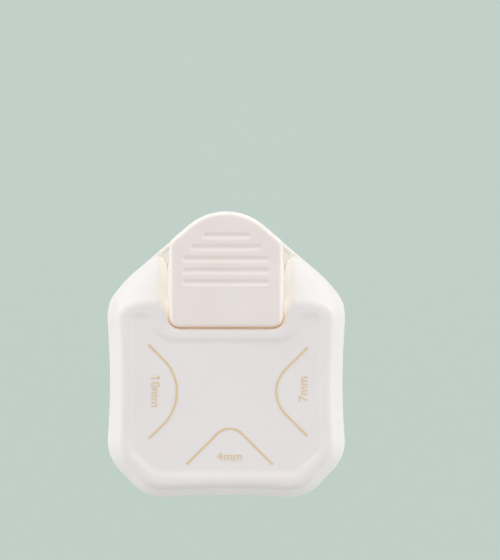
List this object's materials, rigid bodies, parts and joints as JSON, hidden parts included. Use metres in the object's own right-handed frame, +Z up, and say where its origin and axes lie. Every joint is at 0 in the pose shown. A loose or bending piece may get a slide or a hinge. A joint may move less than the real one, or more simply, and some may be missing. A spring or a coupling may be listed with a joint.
{
  "type": "corner rounder",
  "caption": "Hand-operated three-way corner rounder: a rear thumb lever drives a punch block past a die plate to round the paper corners pushed into its side and front slots.",
  "frame": {"origin": "centre of the footprint's bounding box, on the table", "axes": "+X to the right, +Y towards the thumb end of the lever, +Z up"},
  "size_m": [0.0528, 0.0635, 0.0349],
  "materials": {
    "cover_plastic": "fine moulded satin texture, cream white",
    "lever_plastic": "fine moulded satin texture, warm cream",
    "tray_plastic": "satin, frosted pale grey",
    "blade_steel": "ground hardened steel",
    "plain_steel": "rolled and zinc-plated steel",
    "spring_steel": "drawn spring wire"
  },
  "bodies": {
    "housing": {"base_shell": "cover_plastic", "die_plate": "blade_steel", "die_screw_front_left": "plain_steel", "die_screw_front_right": "plain_steel", "die_screw_rear_left": "plain_steel", "die_screw_rear_right": "plain_steel", "guide_plate": "plain_steel", "guide_post_left": "plain_steel", "guide_post_right": "plain_steel", "housing_screw_front_left": "plain_steel", "housing_screw_front_right": "plain_steel", "housing_screw_rear_left": "plain_steel", "housing_screw_rear_right": "plain_steel", "paper_guide_left": "plain_steel", "paper_guide_rear": "plain_steel", "paper_guide_right": "plain_steel", "pivot_pin": "plain_steel", "pivot_strap_left": "plain_steel", "pivot_strap_right": "plain_steel", "return_spring_left": "spring_steel", "return_spring_right": "spring_steel", "strap_screw_left": "plain_steel", "strap_screw_right": "plain_steel", "top_cover": "cover_plastic"},
    "lever": {"drive_pin": "plain_steel", "press_lever": "lever_plastic"},
    "punch": {"punch_block": "blade_steel", "punch_carrier": "plain_steel", "punch_screw_front": "plain_steel", "punch_screw_rear": "plain_steel"},
    "tray": {"waste_tray": "tray_plastic"}
  },
  "joints": [
    {"name": "lever_press", "type": "hinge", "parent": "housing", "child": "lever", "pos_m": [0, -0.022, 0.0225], "axis": [-1, 0, 0], "range_deg": [0, 12]},
    {"name": "punch_slide", "type": "slide", "parent": "housing", "child": "punch", "axis": [0, 0, -1], "range_m": [0, 0.00295], "stiffness_N_per_m": 1500, "springref_m": -0.001, "deforming": ["return_spring_left", "return_spring_right"]},
    {"name": "tray_hinge", "type": "hinge", "parent": "housing", "child": "tray", "pos_m": [0, 0.01, 0.0024], "axis": [1, 0, 0], "range_deg": [0, 80]}
  ],
  "couplings": [
    {"joint": "punch_slide", "follows": "lever_press", "m_per_rad": 0.014}
  ]
}
